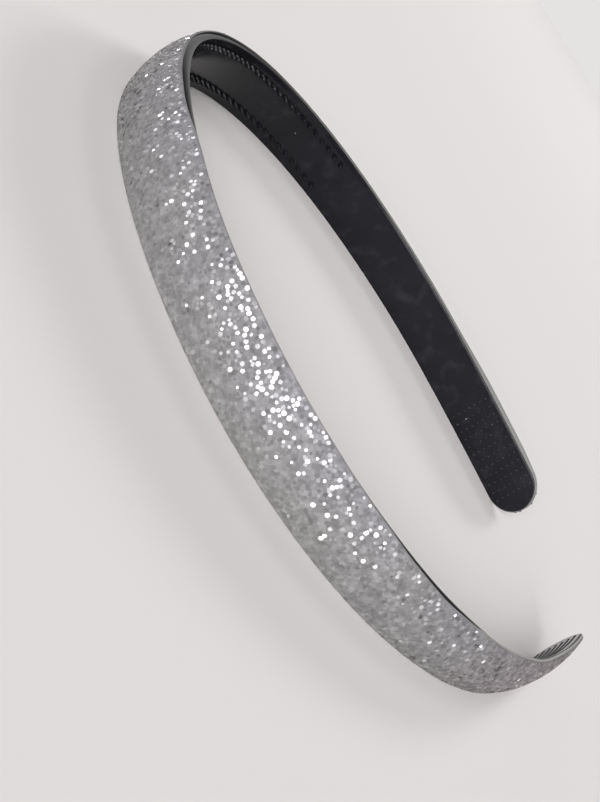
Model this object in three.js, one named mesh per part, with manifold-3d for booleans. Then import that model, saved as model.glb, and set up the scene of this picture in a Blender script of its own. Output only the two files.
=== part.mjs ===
// Glitter headband: a moulded plastic band with two rows of comb teeth inside,
// and a thin glitter cover glued over its convex outer face.
// Millimetres, +Z up. The headband lies on its side: its lower rim is on z = 0, its crown points to +Y.
import * as THREE from "three";
import { mergeVertices } from "three/addons/utils/BufferGeometryUtils.js";
import Module from "manifold-3d";

// Plan of the inner face, from the middle of the crown to one end, as arcs that run on smoothly.
const PLAN_ARCS = [
  { radius: 73, degrees: 44 },
  { radius: 56, degrees: 54 },
  { radius: 73, degrees: 34 },
  { radius: 250, degrees: 9 },
];
// Width of the band, which narrows from the crown to its two rounded ends.
const CROWN_WIDTH = 14;
const END_WIDTH = 11.2;
const TAPER_POWER = 1.25;
const END_ROUND = 6.2;
// Thickness: a flat rim at both edges, and a rise of the outer face between them.
const RIM_AT_CROWN = 1.2;
const RIM_AT_END = 0.6;
const RISE_AT_CROWN = 1.4;
const RISE_AT_END = 1.5;
// Glitter cover: its own thickness, the glue gap under it, and how far it stays inside the rims.
const COVER_THICKNESS = 0.45;
const GLUE_GAP = 0.25;
const COVER_INSET = 0.15;
// Comb teeth on the inner face, in two rows.
const TOOTH_PITCH = 2.6;
const TOOTH_HEIGHT = 1.3;
const TOOTH_BASE_RADIUS = 0.7;
const TOOTH_TIP_RADIUS = 0.25;
const TOOTH_ROOT = 0.4;
const TOOTH_SIDES = 4;
const TEETH_PER_HALF_ROW = 39;
const ROW_FROM_EDGE = 2.3;
// Fineness of the faceted surfaces.
const STEP_DEGREES = 4.5;
const OUTER_STEPS = 8;
const END_STEPS = 6;
const END_LAST_DEGREES = 82;

const radians = THREE.MathUtils.degToRad;
const arcLength = (arc) => arc.radius * radians(arc.degrees);
const HALF_LENGTH = PLAN_ARCS.reduce((sum, arc) => sum + arcLength(arc), 0);

// Point and outward direction of the inner face at a length along the band, measured from the crown.
function planAt(length) {
  let x = 0;
  let y = 0;
  let turn = 0;
  let left = Math.abs(length);
  for (const { radius, degrees } of PLAN_ARCS) {
    const sweep = Math.min(left / radius, radians(degrees));
    x += radius * (Math.sin(turn + sweep) - Math.sin(turn));
    y += radius * (Math.cos(turn + sweep) - Math.cos(turn));
    turn += sweep;
    left -= sweep * radius;
  }
  const side = length < 0 ? -1 : 1;
  return {
    point: new THREE.Vector3(side * x, y, 0),
    outward: new THREE.Vector3(side * Math.sin(turn), Math.cos(turn), 0),
  };
}

// Sizes of the cross-section at a length along the band.
function sectionAt(length) {
  const share = Math.abs(length) / HALF_LENGTH;
  const halfWidth = THREE.MathUtils.lerp(CROWN_WIDTH, END_WIDTH, share ** TAPER_POWER) / 2;
  const intoEnd = Math.max(0, (Math.abs(length) - HALF_LENGTH + END_ROUND) / END_ROUND);
  const fullness = 1 - intoEnd ** 2;
  return {
    middle: halfWidth,
    half: halfWidth * Math.sqrt(fullness),
    rim: THREE.MathUtils.lerp(RIM_AT_CROWN, RIM_AT_END, share),
    rise: THREE.MathUtils.lerp(RISE_AT_CROWN, RISE_AT_END, share) * fullness,
  };
}

// Lengths at which the band is cut into cross-sections, closer together round its two ends.
function stations() {
  const half = [];
  let start = 0;
  for (const arc of PLAN_ARCS) {
    const steps = Math.ceil(arc.degrees / STEP_DEGREES);
    for (let i = 1; i <= steps; i++) {
      half.push(start + (arcLength(arc) * i) / steps);
    }
    start += arcLength(arc);
  }
  const body = half.filter((length) => length < HALF_LENGTH - END_ROUND - 1);
  for (let i = 0; i <= END_STEPS; i++) {
    const angle = radians((END_LAST_DEGREES * i) / END_STEPS);
    body.push(HALF_LENGTH - END_ROUND + END_ROUND * Math.sin(angle));
  }
  return [...body.map((length) => -length).reverse(), 0, ...body];
}

// Closed solid through rings of (distance outward, height) points, one ring for each station.
function loft(lengths, ringAt) {
  const rings = lengths.map(ringAt);
  const count = rings[0].length;
  const positions = [];
  lengths.forEach((length, i) => {
    const { point, outward } = planAt(length);
    for (const { x: distance, y: height } of rings[i]) {
      const corner = point.clone().addScaledVector(outward, distance).setZ(height);
      positions.push(corner.x, corner.y, corner.z);
    }
  });
  const faces = [];
  for (let i = 0; i + 1 < lengths.length; i++) {
    for (let j = 0; j < count; j++) {
      const a = i * count + j;
      const b = i * count + ((j + 1) % count);
      faces.push(a, b, b + count);
      faces.push(a, b + count, a + count);
    }
  }
  const last = (lengths.length - 1) * count;
  for (const [a, b, c] of THREE.ShapeUtils.triangulateShape(rings[0], [])) {
    faces.push(a, c, b);
  }
  for (const [a, b, c] of THREE.ShapeUtils.triangulateShape(rings.at(-1), [])) {
    faces.push(last + a, last + b, last + c);
  }
  const geometry = new THREE.BufferGeometry();
  geometry.setAttribute("position", new THREE.Float32BufferAttribute(positions, 3));
  geometry.setIndex(faces);
  return geometry;
}

// Points up the convex outer face at one station, moved outward and drawn in from the rims.
function outerFace(length, moved, inset) {
  const { middle, half, rim, rise } = sectionAt(length);
  const points = [];
  for (let j = 0; j <= OUTER_STEPS; j++) {
    const across = -1 + (2 * j) / OUTER_STEPS;
    const distance = rim + rise * (1 - across ** 2) + moved;
    points.push(new THREE.Vector2(distance, middle + (half - inset) * across));
  }
  return points;
}

function bandRing(length) {
  const { middle, half } = sectionAt(length);
  const lowerCorner = new THREE.Vector2(0, middle - half);
  const upperCorner = new THREE.Vector2(0, middle + half);
  return [lowerCorner, ...outerFace(length, 0, 0), upperCorner];
}

function coverRing(length) {
  const outside = outerFace(length, GLUE_GAP + COVER_THICKNESS, COVER_INSET);
  const inside = outerFace(length, GLUE_GAP, COVER_INSET).reverse();
  return [...outside, ...inside];
}

// One comb tooth, standing on the inner face and pointing into the head space.
function toothGeometry(length, height) {
  const { point, outward } = planAt(length);
  const tall = TOOTH_HEIGHT + TOOTH_ROOT;
  const tooth = new THREE.CylinderGeometry(TOOTH_TIP_RADIUS, TOOTH_BASE_RADIUS, tall, TOOTH_SIDES);
  const inward = outward.clone().negate();
  tooth.applyQuaternion(new THREE.Quaternion().setFromUnitVectors(new THREE.Vector3(0, 1, 0), inward));
  const centre = point.clone().addScaledVector(inward, tall / 2 - TOOTH_ROOT).setZ(height);
  return tooth.translate(centre.x, centre.y, centre.z);
}

function combTeeth() {
  const teeth = [];
  for (const side of [-1, 1]) {
    for (let i = 0; i < TEETH_PER_HALF_ROW; i++) {
      const length = side * TOOTH_PITCH * (i + 0.5);
      const width = 2 * sectionAt(length).middle;
      teeth.push(toothGeometry(length, ROW_FROM_EDGE));
      teeth.push(toothGeometry(length, width - ROW_FROM_EDGE));
    }
  }
  return teeth;
}

const wasm = await Module();
wasm.setup();

// Joins closed geometries into one.
function join(geometries) {
  const solids = geometries.map((geometry) => {
    const bare = geometry.clone();
    bare.deleteAttribute("normal");
    bare.deleteAttribute("uv");
    const merged = mergeVertices(bare);
    const mesh = new wasm.Mesh({
      numProp: 3,
      vertProperties: merged.attributes.position.array,
      triVerts: new Uint32Array(merged.index.array),
    });
    return new wasm.Manifold(mesh);
  });
  const joined = wasm.Manifold.union(solids).getMesh();
  const geometry = new THREE.BufferGeometry();
  geometry.setAttribute("position", new THREE.BufferAttribute(joined.vertProperties, 3));
  geometry.setIndex(new THREE.BufferAttribute(joined.triVerts, 1));
  return geometry;
}

function namedMesh(name, geometry, material) {
  geometry.computeVertexNormals();
  const mesh = new THREE.Mesh(geometry, new THREE.MeshStandardMaterial(material));
  mesh.name = name;
  return mesh;
}

const lengths = stations();
const headband = new THREE.Group();
headband.add(
  namedMesh("band", join([loft(lengths, bandRing), ...combTeeth()]), {
    color: 0x202022,
    roughness: 0.45,
    metalness: 0,
  }),
);
headband.add(
  namedMesh("glitter_cover", loft(lengths, coverRing), {
    color: 0x9a989a,
    roughness: 0.4,
    metalness: 0.6,
  }),
);

// The origin is under the middle of the headband's plan.
const box = new THREE.Box3().setFromObject(headband);
headband.position.y = -box.getCenter(new THREE.Vector3()).y;

export default headband;
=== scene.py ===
"""Glitter headband lying on its side: a black moulding, a silver glitter sheet and its bright flakes."""
import math
from typing import Callable, NamedTuple

import bmesh
import bpy
import numpy as np
from mathutils import Matrix, Quaternion, Vector


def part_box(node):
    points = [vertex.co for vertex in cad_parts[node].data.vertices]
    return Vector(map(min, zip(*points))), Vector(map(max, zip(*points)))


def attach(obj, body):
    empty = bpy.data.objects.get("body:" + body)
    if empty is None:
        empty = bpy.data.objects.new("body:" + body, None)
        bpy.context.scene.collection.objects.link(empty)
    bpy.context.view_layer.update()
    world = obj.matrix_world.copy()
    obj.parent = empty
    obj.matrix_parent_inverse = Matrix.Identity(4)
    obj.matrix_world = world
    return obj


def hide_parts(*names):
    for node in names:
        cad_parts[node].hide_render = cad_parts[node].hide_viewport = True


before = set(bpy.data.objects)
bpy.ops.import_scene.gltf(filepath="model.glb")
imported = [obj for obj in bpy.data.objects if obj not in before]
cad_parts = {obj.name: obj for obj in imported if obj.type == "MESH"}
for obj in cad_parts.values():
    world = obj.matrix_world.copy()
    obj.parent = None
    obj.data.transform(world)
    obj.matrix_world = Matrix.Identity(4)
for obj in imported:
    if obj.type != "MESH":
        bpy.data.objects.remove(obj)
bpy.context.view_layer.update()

MM = 0.001
UP = Vector((0, 0, 1))

# Plan and width in millimetres, the same as the part's.
# The arcs of the plan are (radius, degrees), from the middle of the crown to one end.
PLAN_ARCS = ((73.0, 44.0), (56.0, 54.0), (73.0, 34.0), (250.0, 9.0))
HALF_LENGTH = sum(radius * math.radians(degrees) for radius, degrees in PLAN_ARCS)
CROWN_WIDTH = 14.0
END_WIDTH = 11.2
TAPER_POWER = 1.25
END_ROUND = 6.2
ROUND_START = HALF_LENGTH - END_ROUND
# Thickness of plastic and sheet together at the crown, and the rise of the convex face between its rims.
CROWN_THICKNESS = 3.3
RISE_AT_CROWN = 1.2
RISE_AT_END = 1.5
# Plastic edge between the inner face and the glitter sheet, thinner towards the ends.
RIM_AT_CROWN = 1.8
RIM_AT_END = 0.25
RIM_POWER = 0.8
INNER_EDGE_RADIUS = 0.16
# Outer corner of the rim, rounded off: how far in from the edge, and over what share of the thickness.
CORNER_INSET = 0.35
CORNER_SHARE = 0.5
# Glitter sheet: its thickness, the glue under it, the room under its lower edge and its reach past the ends.
SHEET_AT_CROWN = 0.3
SHEET_AT_END = 0.75
SHEET_POWER = 2.0
SHEET_GLUE = 0.02
SHEET_FLOOR_ROOM = 0.02
SHEET_PAST_END = 0.2
SHEET_EDGE_RADIUS = 0.15
# Rows of (length along the band, depth of the plastic's upper edge below the full width).
EDGE_DIPS = (
    (-160.0, 0.0),
    (-142.0, 0.45),
    (-128.0, 0.7),
    (-112.0, 0.48),
    (-88.0, 0.27),
    (-36.0, 0.34),
    (-20.0, 0.1),
    (0.0, 0.12),
    (20.0, 0.18),
    (45.0, 0.0),
)
# Rows of (length along the band, height of the sheet's upper edge over the plastic's).
SHEET_OVERHANGS = (
    (-191.0, 0.3),
    (-165.0, 0.48),
    (-148.0, 0.56),
    (-135.0, 0.52),
    (-122.0, 0.38),
    (-114.0, 0.02),
    (-107.0, -0.15),
    (-98.0, -0.06),
    (-88.0, 0.15),
    (-75.0, 0.34),
    (-48.0, 0.45),
    (-24.0, 0.66),
    (-8.0, -0.1),
    (2.0, -0.22),
    (18.0, -0.1),
    (40.0, 0.25),
    (145.0, 0.4),
    (165.0, 0.9),
    (178.0, 0.9),
    (191.0, 0.4),
)
# Comb teeth in two rows on the inner face.
TOOTH_PITCH = 2.6
TOOTH_HEIGHT = 1.3
TOOTH_BASE_RADIUS = 0.7
TOOTH_TIP_RADIUS = 0.3
TOOTH_TIP_BEVEL = 0.16
TOOTH_TIP_STEPS = 2
TOOTH_ROOT = 0.4
TOOTH_SIDES = 10
TEETH_PER_HALF_ROW = 39
ROW_FROM_EDGE = 2.3
# Grip dots near both ends. With an odd count of steps from pole to pole, no ring lies in the inner face.
DOT_PITCH_ALONG = 2.0
DOT_PITCH_ACROSS = 1.43
DOT_ROWS = 7
DOT_COLUMNS = 12
DOT_FIRST_LENGTH = 165.0
DOT_LOWEST_ROW = 1.3
DOT_RADIUS = 0.3
DOT_HEIGHT = 0.16
DOT_EDGE_ROOM = 0.75
DOT_SIDES = 8
DOT_POLE_STEPS = 7
# Fineness of the swept surfaces.
STEP_ALONG = 1.3
END_STEPS = 14
INNER_STEPS = 10
CORNER_STEPS = 3
OUTER_STEPS = 20
# Half the size of the grid that a sweep starts from, and the distance within which corners are welded.
HALF_GRID = 0.5
WELD_DISTANCE = 0.0005
# Edges sharper than these stay creased.
BAND_CREASE_DEGREES = 35
SHEET_CREASE_DEGREES = 50

CROWN_INNER_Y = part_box("glitter_cover")[1].y / MM - CROWN_THICKNESS


def plan_at(run):
    """Point and outward direction of the inner face at a signed length from the crown, in the plan."""
    x = y = turn = 0.0
    left = abs(run)
    for radius, degrees in PLAN_ARCS:
        swept = min(left / radius, math.radians(degrees))
        x += radius * (math.sin(turn + swept) - math.sin(turn))
        y += radius * (math.cos(turn + swept) - math.cos(turn))
        turn += swept
        left -= swept * radius
    side = math.copysign(1.0, run)
    return Vector((side * x, y + CROWN_INNER_Y, 0)), Vector((side * math.sin(turn), math.cos(turn), 0))


def from_crown_to_end(run, at_crown, at_end, power=1.0):
    """Size that changes steadily from the crown to both ends."""
    share = min(1.0, abs(run) / HALF_LENGTH)
    return at_crown + (at_end - at_crown) * share ** power


def width_at(run):
    return from_crown_to_end(run, CROWN_WIDTH, END_WIDTH, TAPER_POWER)


def rim_at(run):
    return from_crown_to_end(run, RIM_AT_CROWN, RIM_AT_END, RIM_POWER)


def rise_at(run):
    return from_crown_to_end(run, RISE_AT_CROWN, RISE_AT_END)


def sheet_at(run):
    return from_crown_to_end(run, SHEET_AT_CROWN, SHEET_AT_END, SHEET_POWER)


def between_rows(rows, run):
    """Value of a table at a length along the band, smooth between its rows."""
    for (start, low), (stop, high) in zip(rows, rows[1:]):
        if run <= stop:
            share = max(0.0, run - start) / (stop - start)
            return low + (high - low) * share * share * (3 - 2 * share)
    return rows[-1][1]


def upper_edge_at(run):
    return width_at(run) - between_rows(EDGE_DIPS, run)


def sheet_edge_at(run):
    return upper_edge_at(run) + between_rows(SHEET_OVERHANGS, run)


class Outline(NamedTuple):
    """A piece seen from outside: its lower and upper edge along the band, and its reach past the ends."""

    edges: Callable
    past_end: float


BAND_OUTLINE = Outline(lambda run: (0.0, upper_edge_at(run)), 0.0)
SHEET_OUTLINE = Outline(lambda run: (SHEET_FLOOR_ROOM, sheet_edge_at(run)), SHEET_PAST_END)


class Station(NamedTuple):
    """A cut through the band: which arm it is on, its length from the crown and its angle round the end."""

    side: float
    length: float
    angle: float


def stations():
    """Cuts from one end of the band to the other."""
    count = round(ROUND_START / STEP_ALONG)
    body = [(ROUND_START * i / count, 0.0) for i in range(1, count + 1)]
    ends = [(ROUND_START, turn) for turn in quarter_turns(END_STEPS)[1:]]
    first_arm = [Station(-1, *cut) for cut in reversed(body + ends)]
    second_arm = [Station(1, *cut) for cut in body + ends]
    return [*first_arm, Station(1, 0.0, 0.0), *second_arm]


def place_at(station, outline, inset, across):
    """Length along the band, height and share of the band's half width of a point inside an outline."""
    side, length, angle = station
    run = side * (length + (END_ROUND + outline.past_end - inset) * math.sin(angle))
    low, high = outline.edges(run)
    middle = width_at(run) / 2
    offset = (low + high) / 2 - middle + ((high - low) / 2 - inset) * across
    return run, middle + offset * math.cos(angle), offset / middle


def point_at(station, outline, inset, across, distance_at):
    """Point of a swept surface, which lies a distance outward of the inner face, in millimetres."""
    run, height, share = place_at(station, outline, inset, across)
    fullness = math.cos(station.angle) ** 2
    point, outward = plan_at(run)
    return point + outward * distance_at(run, share, fullness) + UP * height


def sweep(name, outline, section, back_rows=()):
    """Closed body through every station: a grid whose rows become the section and whose ends close up.

    The rows of faces named as back rows get the second material.
    """
    cuts = stations()
    steps = len(cuts) - 1
    rows = len(section)
    body = bmesh.new()
    bmesh.ops.create_grid(body, x_segments=steps, y_segments=rows, size=HALF_GRID)
    for face in body.faces:
        row = int((face.calc_center_median().y + HALF_GRID) * rows)
        face.material_index = int(row in back_rows)
    for vert in body.verts:
        cut = cuts[round((vert.co.x + HALF_GRID) * steps)]
        inset, across, distance_at = section[round((vert.co.y + HALF_GRID) * rows) % rows]
        vert.co = point_at(cut, outline, inset, across, distance_at) * MM
    bmesh.ops.remove_doubles(body, verts=body.verts, dist=WELD_DISTANCE * MM)
    bmesh.ops.dissolve_degenerate(body, edges=body.edges, dist=WELD_DISTANCE * MM)
    bmesh.ops.recalc_face_normals(body, faces=body.faces)
    return finished(name, body)


def finished(name, body):
    """Object at the origin with a finished mesh."""
    mesh = bpy.data.meshes.new(name)
    body.to_mesh(mesh)
    body.free()
    piece = bpy.data.objects.new(name, mesh)
    bpy.context.scene.collection.objects.link(piece)
    return piece


def shares(steps):
    """Even steps across the band, from its lower edge at -1 to its upper edge at 1."""
    return [-1 + 2 * i / steps for i in range(steps + 1)]


def quarter_turns(steps):
    """Angles of a quarter circle."""
    return [math.radians(90 * i / steps) for i in range(steps + 1)]


def at_depth(depth):
    """Surface a depth outward of the inner face."""
    return lambda run, share, fullness: depth


def over_band(run, share, fullness):
    """Convex face of the plastic."""
    return rim_at(run) + rise_at(run) * fullness * (1 - share ** 2)


def rim_corner(turn):
    """Surface at an angle round the rim's outer corner."""
    short = CORNER_SHARE * (1 - math.sin(turn))
    return lambda run, share, fullness: over_band(run, share, fullness) - rim_at(run) * short


def in_sheet(depth):
    """Surface a depth below the outer face of the sheet."""
    return lambda run, share, fullness: over_band(run, share, fullness) + sheet_at(run) - depth


def under_sheet(run, share, fullness):
    """Face of the sheet that is glued to the plastic."""
    return over_band(run, share, fullness) + SHEET_GLUE


def rounded_edge(radius, surface):
    """Rows of a section round its upper edge, from the rim of a face to a radius behind it."""
    rows = []
    for turn in quarter_turns(CORNER_STEPS)[1:]:
        rows.append((radius * (1 - math.sin(turn)), 1.0, surface(radius * (1 - math.cos(turn)))))
    return rows


def mirrored(rows):
    """The same rows at the lower edge."""
    return [(inset, -across, distance_at) for inset, across, distance_at in reversed(rows)]


def band_section():
    """Inner face, rounded corners of the rims and the convex face under the sheet, as one loop."""
    inner = [(INNER_EDGE_RADIUS, across, at_depth(0.0)) for across in shares(INNER_STEPS)]
    upper = rounded_edge(INNER_EDGE_RADIUS, at_depth)
    for turn in quarter_turns(CORNER_STEPS)[:-1]:
        upper.append((CORNER_INSET * (1 - math.cos(turn)), 1.0, rim_corner(turn)))
    outer = [(CORNER_INSET, across, over_band) for across in reversed(shares(OUTER_STEPS))]
    return inner + upper + outer + mirrored(upper)


def sheet_section():
    """Outer face with rounded edges, and the face glued to the band, as one loop; also the rows behind."""
    outer = [(SHEET_EDGE_RADIUS, across, in_sheet(0.0)) for across in shares(OUTER_STEPS)]
    edge = rounded_edge(SHEET_EDGE_RADIUS, in_sheet)
    glued = [(0.0, across, under_sheet) for across in reversed(shares(OUTER_STEPS))]
    first_back = len(outer) + len(edge) - 1
    back_rows = range(first_back, first_back + len(glued) + 1)
    return outer + edge + glued + mirrored(edge), back_rows


def standing_on_inner_face(run, height):
    """Matrix whose Z axis points into the head space, with its origin on the inner face."""
    point, outward = plan_at(run)
    inward = -outward
    turn = Matrix((UP.cross(inward), UP, inward)).transposed().to_4x4()
    return Matrix.Translation((point + UP * height) * MM) @ turn


def comb_teeth():
    """Two rows of small cones with rounded tips."""
    teeth = bmesh.new()
    tall = TOOTH_HEIGHT + TOOTH_ROOT
    lift = Matrix.Translation((0, 0, (tall / 2 - TOOTH_ROOT) * MM))
    tip_edges = []
    for side in (-1, 1):
        for i in range(TEETH_PER_HALF_ROW):
            run = side * TOOTH_PITCH * (i + 0.5)
            for height in (ROW_FROM_EDGE, width_at(run) - ROW_FROM_EDGE):
                tooth = bmesh.ops.create_cone(
                    teeth,
                    cap_ends=True,
                    segments=TOOTH_SIDES,
                    radius1=TOOTH_BASE_RADIUS * MM,
                    radius2=TOOTH_TIP_RADIUS * MM,
                    depth=tall * MM,
                    matrix=standing_on_inner_face(run, height) @ lift,
                )
                faces = {face for vert in tooth["verts"] for face in vert.link_faces}
                caps = [face for face in faces if len(face.verts) == TOOTH_SIDES]
                tip_edges += min(caps, key=lambda face: face.calc_area()).edges
    bmesh.ops.bevel(
        teeth,
        geom=tip_edges,
        offset=TOOTH_TIP_BEVEL * MM,
        segments=TOOTH_TIP_STEPS,
        profile=0.5,
        affect="EDGES",
        material=-1,
    )
    return finished("comb_teeth", teeth)


def grip_dots():
    """Small domes in rows near both ends."""
    dots = bmesh.new()
    flatten = Matrix.Diagonal((DOT_RADIUS * MM, DOT_RADIUS * MM, DOT_HEIGHT * MM, 1.0))
    for side in (-1, 1):
        for column in range(DOT_COLUMNS):
            run = DOT_FIRST_LENGTH + DOT_PITCH_ALONG * column
            into_end = max(0.0, (run - ROUND_START) / END_ROUND)
            half = width_at(run) / 2 * math.sqrt(max(0.0, 1 - into_end ** 2))
            for row in range(DOT_ROWS):
                height = DOT_LOWEST_ROW + DOT_PITCH_ACROSS * row
                if abs(height - width_at(run) / 2) > half - DOT_EDGE_ROOM:
                    continue
                bmesh.ops.create_uvsphere(
                    dots,
                    u_segments=DOT_SIDES,
                    v_segments=DOT_POLE_STEPS,
                    radius=1.0,
                    matrix=standing_on_inner_face(side * run, height) @ flatten,
                )
    return finished("grip_dots", dots)


def joined(body, *others):
    """Unites other closed pieces with a body into one closed mesh, and removes them."""
    for other in others:
        union = body.modifiers.new("union", "BOOLEAN")
        union.operation = "UNION"
        union.solver = "MANIFOLD"
        union.object = other
    bpy.context.view_layer.update()
    seen = body.evaluated_get(bpy.context.evaluated_depsgraph_get())
    united = bpy.data.meshes.new_from_object(seen)
    body.modifiers.clear()
    body.data = united
    for other in others:
        bpy.data.objects.remove(other)
    return body


# Flakes of the glitter: chips bedded in the sheet, nearly flush, whose gloss leans this way and that.
FLAKE_SEED = 7
FLAKE_TRIES = 40000
FLAKE_SPACING = 0.56
FLAKE_LEAN_DEGREES = 10.0
FLAKE_TILT_SHARE = 0.3
FLAKE_LOWEST = 0.015
FLAKE_HIGHEST = 0.06
FLAKE_SINK = 0.14
FLAKE_SIDES = 8
FLAKE_RADII = (0.25, 0.3, 0.35, 0.4)
# Share of the width and of the round ends that the flakes reach.
FLAKE_REACH = 0.97
FLAKE_REACH_END = ROUND_START + FLAKE_REACH * END_ROUND
# Cells to either side that may hold a flake closer than the spacing.
NEAR_CELLS = (-2, -1, 0, 1, 2)
# Two loose flakes that stuck to the inner face of one arm, as (length along the band, height).
STRAY_FLAKES = ((86.8, 7.1), (166.9, 3.75))
STRAY_RADIUS = 0.15
STRAY_UPWARD_LEAN = 0.4
STRAY_SHADE = 1.0


def sheet_frame(run, across):
    """Point on the sheet's outer face with its normal, the direction along the band and the one across it."""
    into_end = max(0.0, (abs(run) - ROUND_START) / (END_ROUND + SHEET_PAST_END - SHEET_EDGE_RADIUS))
    angle = math.asin(min(1.0, into_end))
    station = Station(math.copysign(1.0, run), min(abs(run), ROUND_START), angle)
    point = point_at(station, SHEET_OUTLINE, SHEET_EDGE_RADIUS, across, in_sheet(0.0))
    _, _, share = place_at(station, SHEET_OUTLINE, SHEET_EDGE_RADIUS, across)
    _, outward = plan_at(run)
    slope = 2 * rise_at(run) * math.cos(angle) * share / (width_at(run) / 2)
    normal = (outward + UP * slope).normalized()
    along = Vector((-outward.y, outward.x, 0))
    return point, normal, along, normal.cross(along)


def flake_places(draw):
    """Random places on the sheet, spaced apart, as (length along the band, share across it)."""
    cell = FLAKE_SPACING / math.sqrt(2)
    kept = {}
    runs = draw.uniform(-FLAKE_REACH_END, FLAKE_REACH_END, FLAKE_TRIES)
    acrosses = draw.uniform(-FLAKE_REACH, FLAKE_REACH, FLAKE_TRIES)
    for run, across in zip(runs, acrosses):
        height = across * width_at(run) / 2
        column = math.floor(run / cell)
        row = math.floor(height / cell)
        around = [kept.get((column + i, row + j)) for i in NEAR_CELLS for j in NEAR_CELLS]
        gaps = [math.dist((run, height), place[:2]) for place in around if place]
        if not gaps or min(gaps) > FLAKE_SPACING:
            kept[column, row] = (run, height, across)
    return [(run, across) for run, _, across in kept.values()]


class Flakes:
    """Many small chips in one mesh, which keeps each chip's shade and the way that its gloss faces."""

    def __init__(self):
        self.body = bmesh.new()
        self.chip_mesh = bpy.data.meshes.new("chip")
        self.shades = []
        self.facings = []

    def add(self, point, normal, lift, first_arm, second_arm, shade, facing):
        """Adds a chip: a cone with its cap lifted over a point and its tip sunk below it.

        Each chip is made alone first, because the operator is slow in a large mesh.
        """
        down = normal * -(lift + FLAKE_SINK)
        place = Matrix((first_arm, second_arm, down)).transposed().to_4x4()
        place.translation = point + normal * lift + down / 2
        chip = bmesh.new()
        bmesh.ops.create_cone(
            chip,
            cap_ends=True,
            segments=FLAKE_SIDES,
            radius1=1.0,
            radius2=0.0,
            depth=1.0,
            matrix=Matrix.Scale(MM, 4) @ place,
        )
        self.shades += [shade] * len(chip.faces)
        self.facings += list(facing) * len(chip.faces)
        chip.to_mesh(self.chip_mesh)
        chip.free()
        self.body.from_mesh(self.chip_mesh)

    def finish(self, name):
        """Piece with all the chips, whose faces carry their shades and facings."""
        bpy.data.meshes.remove(self.chip_mesh)
        piece = finished(name, self.body)
        attributes = piece.data.attributes
        attributes.new("shade", "FLOAT", "FACE").data.foreach_set("value", self.shades)
        attributes.new("facing", "FLOAT_VECTOR", "FACE").data.foreach_set("vector", self.facings)
        return piece


def glitter_flakes():
    """Thousands of chips in the sheet, and the loose ones on the inner face."""
    draw = np.random.default_rng(FLAKE_SEED)
    places = flake_places(draw)
    count = len(places)
    radii = draw.choice(FLAKE_RADII, count)
    leans = np.radians(draw.normal(0, FLAKE_LEAN_DEGREES, (count, 2)))
    spins = draw.uniform(0, 2 * math.pi, count)
    shades = draw.uniform(0, 1, count)
    lifts = draw.uniform(FLAKE_LOWEST, FLAKE_HIGHEST, count)
    made = Flakes()
    for (run, across), radius, lean, spin, shade, lift in zip(places, radii, leans, spins, shades, lifts):
        point, normal, along, across_band = sheet_frame(run, across)
        axis = along * lean[0] + across_band * lean[1]
        turn = Quaternion(axis, axis.length * FLAKE_TILT_SHARE) @ Quaternion(normal, spin)
        facing = Quaternion(axis, axis.length) @ normal
        made.add(point, normal, lift, turn @ along * radius, turn @ -across_band * radius, shade, facing)
    for run, height in STRAY_FLAKES:
        point, outward = plan_at(run)
        inward = -outward
        along = UP.cross(inward) * STRAY_RADIUS
        facing = UP * STRAY_UPWARD_LEAN + inward
        made.add(point + UP * height, inward, FLAKE_LOWEST, along, -UP * STRAY_RADIUS, STRAY_SHADE, facing)
    return made.finish("glitter_flakes")


class Wire:
    """A value or colour in a material's nodes; arithmetic on it adds the nodes that work it out."""

    def __init__(self, tree, socket):
        self.tree = tree
        self.socket = socket

    def node(self, kind, settings=None, inputs=None, output=0):
        made = self.tree.nodes.new(kind)
        for name, value in (settings or {}).items():
            setattr(made, name, value)
        for name, value in (inputs or {}).items():
            if isinstance(value, Wire):
                self.tree.links.new(value.socket, made.inputs[name])
            else:
                made.inputs[name].default_value = value
        return Wire(self.tree, made.outputs[output])

    def maths(self, operation, first, second):
        return self.node("ShaderNodeMath", {"operation": operation}, {0: first, 1: second})

    def __add__(self, other):
        return self.maths("ADD", self, other)

    __radd__ = __add__

    def __mul__(self, other):
        return self.maths("MULTIPLY", self, other)

    __rmul__ = __mul__

    def __sub__(self, other):
        return self.maths("SUBTRACT", self, other)

    def __rsub__(self, other):
        return self.maths("SUBTRACT", other, self)

    def axis(self, name):
        """One coordinate of a place."""
        return self.node("ShaderNodeSeparateXYZ", inputs={"Vector": self}, output=name)

    def noise(self, scale, detail):
        return self.node("ShaderNodeTexNoise", inputs={"Vector": self, "Scale": scale, "Detail": detail})

    def vector(self, operation, *others):
        return self.node("ShaderNodeVectorMath", {"operation": operation}, dict(enumerate((self, *others))))

    def blend(self, kind, share, first, second):
        inputs = {"Factor": share, "A": first, "B": second}
        return self.node("ShaderNodeMix", {"data_type": "RGBA", "blend_type": kind}, inputs, output=2)

    def mix(self, first, second):
        """Colour between two others; this wire is the share of the second."""
        return self.blend("MIX", self, first, second)

    def times(self, colour):
        """This colour multiplied by another."""
        return self.blend("MULTIPLY", 1.0, self, colour)


def new_material(name):
    """A material with its surface shader and a wire to start from."""
    material = bpy.data.materials.new(name)
    material.use_nodes = True
    tree = material.node_tree
    shader = tree.nodes["Principled BSDF"]
    places = Wire(tree, None).node("ShaderNodeTexCoord", output="Object")
    return material, shader, places


def link(wire, shader, name):
    wire.tree.links.new(wire.socket, shader.inputs[name])


# Level of gloss of the plastic and of the sheet, front and back.
FAINT_GLOSS = 0.2
# Plastic: its colours, its roughness where it is clean, and how much smudges add to that.
PLASTIC_BLACK = (0.003, 0.0029, 0.0042, 1)
PLASTIC_SMUDGED = (0.0095, 0.0093, 0.0122, 1)
PLASTIC_RUBBED = (0.018, 0.0177, 0.0225, 1)
PLASTIC_ROUGHNESS = 0.1
SMUDGE_ROUGHNESS = 0.12


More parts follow.
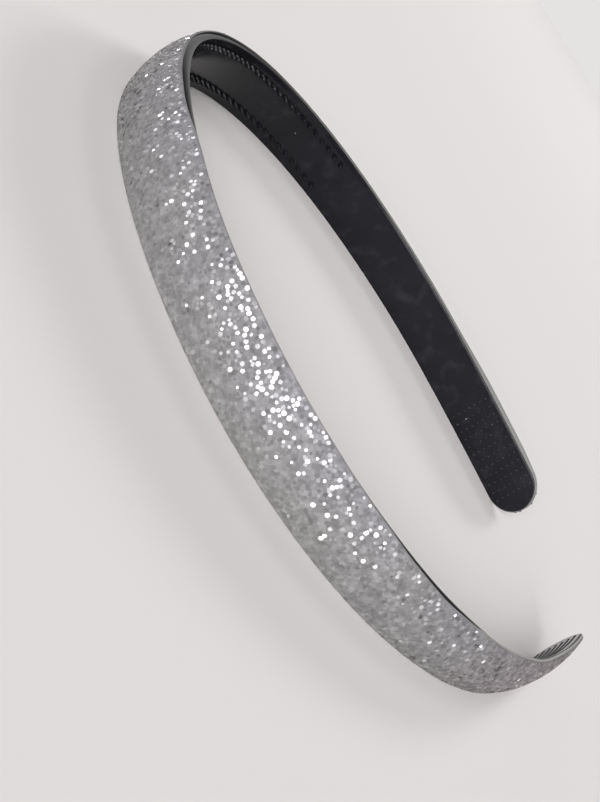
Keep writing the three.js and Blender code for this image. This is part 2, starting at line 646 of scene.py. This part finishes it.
def black_plastic():
    """Satin moulded plastic with faint smudges and pale rubbed marks."""
    material, shader, places = new_material("black_plastic")
    shader.inputs["Specular IOR Level"].default_value = FAINT_GLOSS
    smudges = places.noise(scale=120.0, detail=4.0)
    grain = places.noise(scale=2600.0, detail=2.0)
    wear = {"Value": places.noise(scale=300.0, detail=8.0), "From Min": 0.54, "From Max": 0.85}
    rubbed = places.node("ShaderNodeMapRange", inputs=wear)
    link(rubbed.mix(smudges.mix(PLASTIC_BLACK, PLASTIC_SMUDGED), PLASTIC_RUBBED), shader, "Base Color")
    link(PLASTIC_ROUGHNESS + SMUDGE_ROUGHNESS * smudges, shader, "Roughness")
    relief = {"Strength": 0.25, "Distance": 0.00002, "Height": grain}
    link(places.node("ShaderNodeBump", inputs=relief), shader, "Normal")
    return material


# Fine glitter: the greys of its cells, and how far a cell's random value may lean its gloss.
GLITTER_DARK = (0.133, 0.131, 0.131, 1)
GLITTER_LIGHT = (0.21, 0.207, 0.208, 1)
GLITTER_ROUGHNESS = 0.7
CELL_MIDDLE = (0.5, 0.5, 0.5)
CELL_LEAN = (0.4, 0.4, 0.4)
# Flakes: their greys and their share of metal. The lighter ones are rougher.
FLAKE_DARK = (0.205, 0.203, 0.203, 1)
FLAKE_LIGHT = (0.29, 0.287, 0.288, 1)
FLAKE_METAL = 0.5
FLAKE_ROUGHNESS = 0.13
LIGHT_FLAKE_ROUGHNESS = 0.2
# Mottle and tints of both, which multiply the greys.
# A tint's share is held back and rises by metre: mauve upwards, and a painted pink reflection away from the
# crown.
MOTTLE_DARK = (0.62, 0.62, 0.62, 1)
MOTTLE_LIGHT = (1.38, 1.38, 1.38, 1)
OLIVE_TINT = (1.0, 1.0, 0.965, 1)
MAUVE_TINT = (1.0, 0.975, 1.06, 1)
MAUVE_HOLD_BACK = 0.3
MAUVE_RISE = 45.0
PAINTED_PINK_REFLECTION = (0.93, 0.82, 0.86, 1)
PINK_REFLECTION_HOLD_BACK = 0.35
PINK_REFLECTION_RISE = 30.0


def tinted(places, colour):
    """Mottled glitter grey that turns a little to olive low down and mauve high up, with a painted pink
    reflection near the ends.
    """
    mauve_share = places.noise(scale=90.0, detail=2.0) + MAUVE_RISE * places.axis("Z") - MAUVE_HOLD_BACK
    # Painted reflection: pink laid into the colour towards both ends.
    pink_reflection_share = -PINK_REFLECTION_HOLD_BACK - PINK_REFLECTION_RISE * places.axis("Y")
    tint = pink_reflection_share.mix(mauve_share.mix(OLIVE_TINT, MAUVE_TINT), PAINTED_PINK_REFLECTION)
    mottle = places.noise(scale=650.0, detail=1.0).mix(MOTTLE_DARK, MOTTLE_LIGHT)
    return colour.times(mottle).times(tint)


def glitter_sheet_finish():
    """Fine silver glitter: every small cell has its own tilt and its own shade of grey."""
    material, shader, places = new_material("glitter_sheet")
    shader.inputs["Specular IOR Level"].default_value = FAINT_GLOSS
    shader.inputs["Roughness"].default_value = GLITTER_ROUGHNESS
    cells = places.node("ShaderNodeTexVoronoi", inputs={"Vector": places, "Scale": 1250.0}, output="Color")
    tone = places.node("ShaderNodeSeparateColor", inputs={"Color": cells}, output="Red")
    link(tinted(places, tone.mix(GLITTER_DARK, GLITTER_LIGHT)), shader, "Base Color")
    lean = cells.vector("SUBTRACT", CELL_MIDDLE)
    normal = places.node("ShaderNodeNewGeometry", output="Normal")
    tilted = lean.vector("MULTIPLY_ADD", CELL_LEAN, normal)
    link(tilted.vector("NORMALIZE"), shader, "Normal")
    return material


def flake_finish():
    """Bright chips: each has its own shade, and its gloss faces its own way."""
    material, shader, places = new_material("glitter_flakes")
    shader.inputs["Metallic"].default_value = FLAKE_METAL
    shade = places.node("ShaderNodeAttribute", {"attribute_name": "shade"}, output="Fac")
    link(FLAKE_ROUGHNESS + LIGHT_FLAKE_ROUGHNESS * shade, shader, "Roughness")
    link(tinted(places, shade.mix(FLAKE_DARK, FLAKE_LIGHT)), shader, "Base Color")
    facing = places.node("ShaderNodeAttribute", {"attribute_name": "facing"}, output="Vector")
    link(facing.vector("NORMALIZE"), shader, "Normal")
    return material


# Back of the sheet: its fibres, and how much painted shade darkens it in the middle and how much more by
# metre to one side.
FIBRE_DARK = (0.26, 0.26, 0.25, 1)
FIBRE_PALE = (0.44, 0.43, 0.42, 1)
UNSHADED_TONE = (1, 1, 1, 1)
PAINTED_SHADE_TONE = (0.42, 0.42, 0.42, 1)
PAINTED_SHADE_MIDDLE = 0.4
PAINTED_SHADE_RISE = 9.0
BACKING_ROUGHNESS = 0.85


def sheet_backing():
    """Pale fibres of the sheet's back and cut edge, darkened by painted shade towards one arm."""
    material, shader, places = new_material("sheet_backing")
    shader.inputs["Roughness"].default_value = BACKING_ROUGHNESS
    shader.inputs["Specular IOR Level"].default_value = FAINT_GLOSS
    pale = places.noise(scale=3000.0, detail=3.0).mix(FIBRE_DARK, FIBRE_PALE)
    # Painted shade: the back and cut edge grow darker towards the arm at positive X, where more light falls
    # on its edge.
    painted_shade_share = PAINTED_SHADE_MIDDLE + PAINTED_SHADE_RISE * places.axis("X")
    link(pale.times(painted_shade_share.mix(UNSHADED_TONE, PAINTED_SHADE_TONE)), shader, "Base Color")
    return material


def shade_smooth(piece, crease_degrees):
    piece.data.shade_smooth()
    piece.data.set_sharp_from_angle(angle=math.radians(crease_degrees))


# Camera at the photograph's viewing angle, in millimetres and degrees.
# The picture's height is its longer side, which the sensor spans.
CAMERA_PLACE = Vector((-227.29, 143.85, 74.18))
CAMERA_AIM = Vector((-44.96, 28.73, 7.0))
CAMERA_ROLL = 59.08
CAMERA_NEAREST = 5.0
FOCAL_PIXELS = 1450
PICTURE_HEIGHT = 802
SENSOR = 36.0


def add_camera():
    camera = bpy.data.objects.new("camera", bpy.data.cameras.new("camera"))
    bpy.context.scene.collection.objects.link(camera)
    camera.data.sensor_width = SENSOR
    camera.data.lens = FOCAL_PIXELS * SENSOR / PICTURE_HEIGHT
    camera.data.clip_start = CAMERA_NEAREST * MM
    camera.location = CAMERA_PLACE * MM
    level = (CAMERA_AIM - CAMERA_PLACE).to_track_quat("-Z", "Y")
    camera.rotation_mode = "QUATERNION"
    camera.rotation_quaternion = level @ Quaternion((0, 0, 1), math.radians(CAMERA_ROLL))
    bpy.context.scene.camera = camera


# Stage, in metres and degrees.
FLOOR_HALF_SIZE = 2.4
FLOOR_DARK = (0.785, 0.755, 0.752, 1)
FLOOR_PALE = (0.805, 0.774, 0.771, 1)
FLOOR_ROUGHNESS = 0.9
SKY_COLOUR = (1.0, 0.985, 0.975, 1)
SUN_REACH = 3.0
STRIP_REACH = 1.8


def floor_finish():
    """Matt pale floor with very faint patches."""
    material, shader, places = new_material("pale_floor")
    shader.inputs["Roughness"].default_value = FLOOR_ROUGHNESS
    shader.inputs["Specular IOR Level"].default_value = 0.0
    link(places.noise(scale=6.0, detail=2.0).mix(FLOOR_DARK, FLOOR_PALE), shader, "Base Color")
    return material


def add_floor():
    ground = bmesh.new()
    bmesh.ops.create_grid(ground, x_segments=1, y_segments=1, size=FLOOR_HALF_SIZE)
    floor = finished("floor", ground)
    floor.data.materials.append(floor_finish())


def add_sky():
    """Soft light from all round, weaker from above than from the horizon."""
    world = bpy.data.worlds.new("studio")
    bpy.context.scene.world = world
    world.use_nodes = True
    backdrop = world.node_tree.nodes["Background"]
    backdrop.inputs["Color"].default_value = SKY_COLOUR
    sky = Wire(world.node_tree, None).node("ShaderNodeTexCoord", output="Generated")
    fade = {"Value": sky.axis("Z"), "From Min": 0.05, "From Max": 0.39, "To Min": 0.78, "To Max": 0.19}
    link(sky.node("ShaderNodeMapRange", inputs=fade), backdrop, "Strength")


def add_light(name, kind, settings, azimuth, elevation, reach, in_gloss=True, in_matt=True):
    """Light that faces the headband, placed by its direction and its distance.

    It may be left out of glossy reflections or of matt ones.
    """
    turn = math.radians(azimuth)
    tilt = math.radians(elevation)
    away = Vector((math.cos(turn) * math.cos(tilt), math.sin(turn) * math.cos(tilt), math.sin(tilt)))
    lamp = bpy.data.lights.new(name, kind)
    for setting, value in settings.items():
        setattr(lamp, setting, value)
    light = bpy.data.objects.new(name, lamp)
    bpy.context.scene.collection.objects.link(light)
    light.location = away * reach
    light.rotation_mode = "QUATERNION"
    light.rotation_quaternion = away.to_track_quat("Z", "Y")
    light.visible_camera = False
    light.visible_glossy = in_gloss
    light.visible_diffuse = in_matt
    return light


def panel(width, height, energy):
    """Settings of a rectangular light."""
    return {"shape": "RECTANGLE", "size": width, "size_y": height, "energy": energy}


def add_lights():
    """Three lights for the matt surfaces and two panels that only the glossy ones show."""
    broad = {"energy": 5.0, "angle": math.radians(30)}
    add_light("front_light", "SUN", broad, azimuth=147, elevation=17, reach=SUN_REACH, in_gloss=False)
    narrow = {"energy": 1.5, "angle": math.radians(11)}
    add_light("back_light", "SUN", narrow, azimuth=-42, elevation=19, reach=SUN_REACH, in_gloss=False)
    high = {"energy": 32.0, "shadow_soft_size": 0.4}
    add_light("high_light", "POINT", high, azimuth=-45, elevation=50, reach=2.5, in_gloss=False)
    wide = panel(width=1.2, height=0.8, energy=15.0)
    add_light("top_panel", "AREA", wide, azimuth=150, elevation=62, reach=1.5, in_matt=False)
    strip = panel(width=3.4, height=0.36, energy=70.0)
    add_light("sparkle_strip", "AREA", strip, azimuth=137, elevation=11, reach=STRIP_REACH, in_matt=False)


def add_side_sparkles(flakes):
    """Weaker strips at the other sides, which glint on the flakes alone."""
    glinting = bpy.data.collections.new("glinting")
    glinting.objects.link(flakes)
    rear = panel(width=1.4, height=0.3, energy=26.0)
    small = panel(width=0.3, height=0.15, energy=4.0)
    for light in (
        add_light("rear_sparkle", "AREA", rear, azimuth=0, elevation=10, reach=STRIP_REACH, in_matt=False),
        add_light("crown_sparkle", "AREA", small, azimuth=58, elevation=5, reach=STRIP_REACH, in_matt=False),
        add_light("end_sparkle", "AREA", small, azimuth=226, elevation=5, reach=STRIP_REACH, in_matt=False),
    ):
        light.light_linking.receiver_collection = glinting


add_camera()
add_floor()
add_sky()
add_lights()
bpy.context.scene.view_settings.view_transform = "Standard"

band = joined(sweep("band_moulding", BAND_OUTLINE, band_section()), comb_teeth(), grip_dots())
band.data.materials.clear()
band.data.materials.append(black_plastic())
shade_smooth(band, BAND_CREASE_DEGREES)
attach(band, "root")
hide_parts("band")

section, back_rows = sheet_section()
sheet = sweep("glitter_sheet", SHEET_OUTLINE, section, back_rows)
sheet.data.materials.append(glitter_sheet_finish())
sheet.data.materials.append(sheet_backing())
shade_smooth(sheet, SHEET_CREASE_DEGREES)
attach(sheet, "root")
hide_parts("glitter_cover")

flakes = glitter_flakes()
flakes.data.materials.append(flake_finish())
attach(flakes, "root")
add_side_sparkles(flakes)
